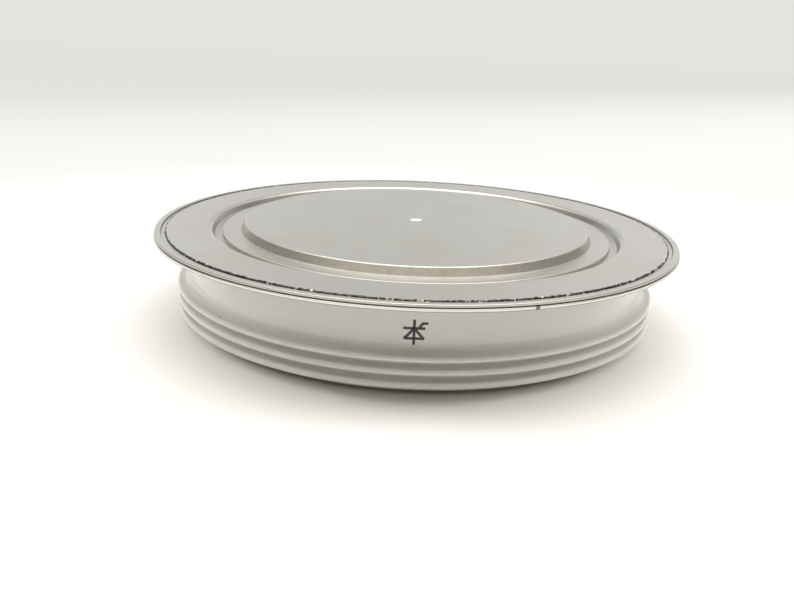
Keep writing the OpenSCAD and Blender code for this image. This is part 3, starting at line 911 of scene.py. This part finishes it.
class DISC_OT_stage(PieceMaker, bpy.types.Operator):
    """Lays the white paper, hangs the lamps and the tent, and sets the camera"""

    bl_idname = "disc.stage"
    bl_label = "Stage"

    def execute(self, context):
        context.scene.view_settings.view_transform = "Standard"
        self.lay_paper()
        self.hang_lamps()
        self.pitch_tent(context.scene)
        self.set_camera(context.scene)
        return {"FINISHED"}

    def lay_paper(self):
        """A large sheet whose far part glows just enough to stay white to the camera and in reflections."""
        bpy.ops.object.select_all(action="DESELECT")
        bpy.ops.mesh.primitive_plane_add(size=8.0, location=(0, 0, -0.02 * MM))
        paper = bpy.context.object
        paper.name = paper.data.name = "paper"
        finish = new_finish("white_paper")
        spot, x, y, _ = finish.place()
        camera, glossy, through = (finish.node("ShaderNodeLightPath", {}, out=name)
                                   for name in ("Is Camera Ray", "Is Glossy Ray", "Is Transmission Ray"))
        watched = camera.math("MAXIMUM", glossy).math("MAXIMUM", through)
        fibre = finish.noise(spot, 900.0, 2.0, 0.5)
        tint = finish.blend(fibre * 0.06, self.finishes.paper, (0.80, 0.795, 0.78))
        shader = finish.node("ShaderNodeBsdfDiffuse", {}, Color=tint)
        fade = finish.blend((y - x * 0.8).between(0.02, 1.25), (0.995, 0.995, 0.965), HORIZON)
        glow = finish.node("ShaderNodeEmission", {}, Color=fade, Strength=1.0)
        lifted = watched * x.reach(y).between(0.105, 0.30) * 0.97
        lift = finish.node("ShaderNodeMixShader", {}, lifted, shader, glow)
        finish.node_out(lift)
        paper.data.materials.append(finish.owner)

    def hang_lamps(self):
        """A wide soft lamp overhead, one at each side for matt surfaces only, and a strip that metal mirrors."""
        self.lamp("overhead_lamp", (0.0, 0.16, 1.0), (1.75, 1.04), self.studio.key_power)
        for name, side in (("left_lamp", -1), ("right_lamp", 1)):
            lamp = self.lamp(name, (side * 0.75, 0.14, 0.32), (0.5, 0.3), self.studio.side_power)
            lamp.rotation_euler = (0.0, side * math.radians(67), 0.0)
            lamp.visible_glossy = False
        card = self.lamp("front_card", (0.0, -0.46, 1.0), (1.3, 0.34), self.studio.card_power)
        card.visible_diffuse = False

    def lamp(self, name, spot, size, power):
        """One oval soft lamp that shines down."""
        bpy.ops.object.select_all(action="DESELECT")
        bpy.ops.object.light_add(type="AREA", location=spot)
        lamp = bpy.context.object
        lamp.name = lamp.data.name = name
        lamp.data.shape = "ELLIPSE"
        lamp.data.size, lamp.data.size_y = size
        lamp.data.energy = power
        lamp.data.color = (1.0, 0.985, 0.955)
        return lamp

    def pitch_tent(self, scene):
        """World light: a white tent behind, darker at the sides and overhead, and a warm room in front."""
        world = bpy.data.worlds.new("tent")
        scene.world = world
        finish = Finish(world)
        x, y, z = finish.parts(finish.node("ShaderNodeTexCoord", {}, out="Generated"))
        low, high, side, wing, roof = (scaled(shade, self.studio.tent) for shade in (
            (2.40, 2.41, 2.34), (0.985, 1.0, 0.98), (1.46, 1.45, 1.43), (0.62, 0.61, 0.58), (0.38, 0.38, 0.37)))
        tent = finish.blend((x + 0.04).away().between(0.06, 0.36), high, side)
        tent = finish.blend(1.0 - z.between(0.15, 0.235), tent, low)
        tent = finish.blend(x.away().between(0.62, 0.74), tent, wing)
        front = self.studio.front
        mirrored = finish.node("ShaderNodeLightPath", {}, out="Is Glossy Ray")
        dim, glow = (finish.blend(mirrored, scaled(shade, 0.6 * front), scaled(shade, front))
                     for shade in ((0.36, 0.335, 0.29), (1.0, 0.89, 0.70)))
        room = finish.blend(z.between(0.16, 0.46), dim, glow)
        light = finish.blend(1.0 - y.between(-0.75, -0.05), tent, room)
        light = finish.blend(z.between(0.60, 0.80), light, roof)
        seen = finish.node("ShaderNodeLightPath", {}, out="Is Camera Ray")
        light = finish.blend(seen, light, HORIZON)
        background = finish.node("ShaderNodeBackground", {}, Color=light, Strength=1.0)
        end = finish.tree.nodes.new("ShaderNodeOutputWorld")
        finish.tree.links.new(background.socket, end.inputs["Surface"])

    def set_camera(self, scene):
        """The photograph's camera: place, aim and roll."""
        studio = self.studio
        yaw, pitch, roll = studio.camera_yaw, studio.camera_pitch, studio.camera_roll
        ahead = Vector((math.sin(yaw) * math.cos(pitch), math.cos(yaw) * math.cos(pitch), -math.sin(pitch)))
        level = Vector((math.cos(yaw), -math.sin(yaw), 0.0))
        rise = level.cross(ahead)
        right = math.cos(roll) * level + math.sin(roll) * rise
        up = math.cos(roll) * rise - math.sin(roll) * level
        bpy.ops.object.select_all(action="DESELECT")
        bpy.ops.object.camera_add()
        camera = bpy.context.object
        camera.name = camera.data.name = "photo_camera"
        camera.data.sensor_width = 36.0
        camera.data.lens = studio.focal
        camera.data.clip_start = 5 * MM
        camera.data.clip_end = 50.0
        turn = Matrix((right, up, -ahead)).transposed().to_4x4()
        camera.matrix_world = Matrix.Translation((0.0, -studio.camera_distance, studio.camera_height)) @ turn
        scene.camera = camera


class DISC_PT_maker(bpy.types.Panel):
    """Lists the steps that build the disc"""

    bl_idname = "DISC_PT_maker"
    bl_label = "Disc Thyristor"
    bl_space_type = "VIEW_3D"
    bl_region_type = "UI"
    bl_category = "Disc"

    def draw(self, context):
        for operator in OPERATORS:
            self.layout.operator(operator.bl_idname)
        for group in ("disc_sizes", "disc_finishes", "disc_studio"):
            settings = getattr(context.scene, group)
            for key in settings.__annotations__:
                self.layout.prop(settings, key)


GROUPS = {"disc_sizes": DiscSizes, "disc_finishes": DiscFinishes, "disc_studio": DiscStudio}
OPERATORS = (DISC_OT_poles, DISC_OT_flanges, DISC_OT_weld_seam, DISC_OT_ceramic_ring, DISC_OT_gate,
             DISC_OT_tabs, DISC_OT_symbol, DISC_OT_sealed_pieces, DISC_OT_stage)


def register():
    """Registers the classes and hangs the settings on the scene."""
    for cls in (*GROUPS.values(), *OPERATORS, DISC_PT_maker):
        bpy.utils.register_class(cls)
    for name, group in GROUPS.items():
        setattr(bpy.types.Scene, name, PointerProperty(type=group))


def unregister():
    """Takes the settings and the classes away again."""
    for name in GROUPS:
        delattr(bpy.types.Scene, name)
    for cls in reversed((*GROUPS.values(), *OPERATORS, DISC_PT_maker)):
        bpy.utils.unregister_class(cls)


def main():
    """Builds the dressed part and its studio."""
    register()
    bpy.ops.disc.poles()
    bpy.ops.disc.flanges()
    bpy.ops.disc.weld_seam()
    bpy.ops.disc.ceramic_ring()
    bpy.ops.disc.gate()
    bpy.ops.disc.tabs()
    bpy.ops.disc.symbol()
    bpy.ops.disc.sealed_pieces()
    bpy.ops.disc.stage()


if __name__ == "__main__":
    main()
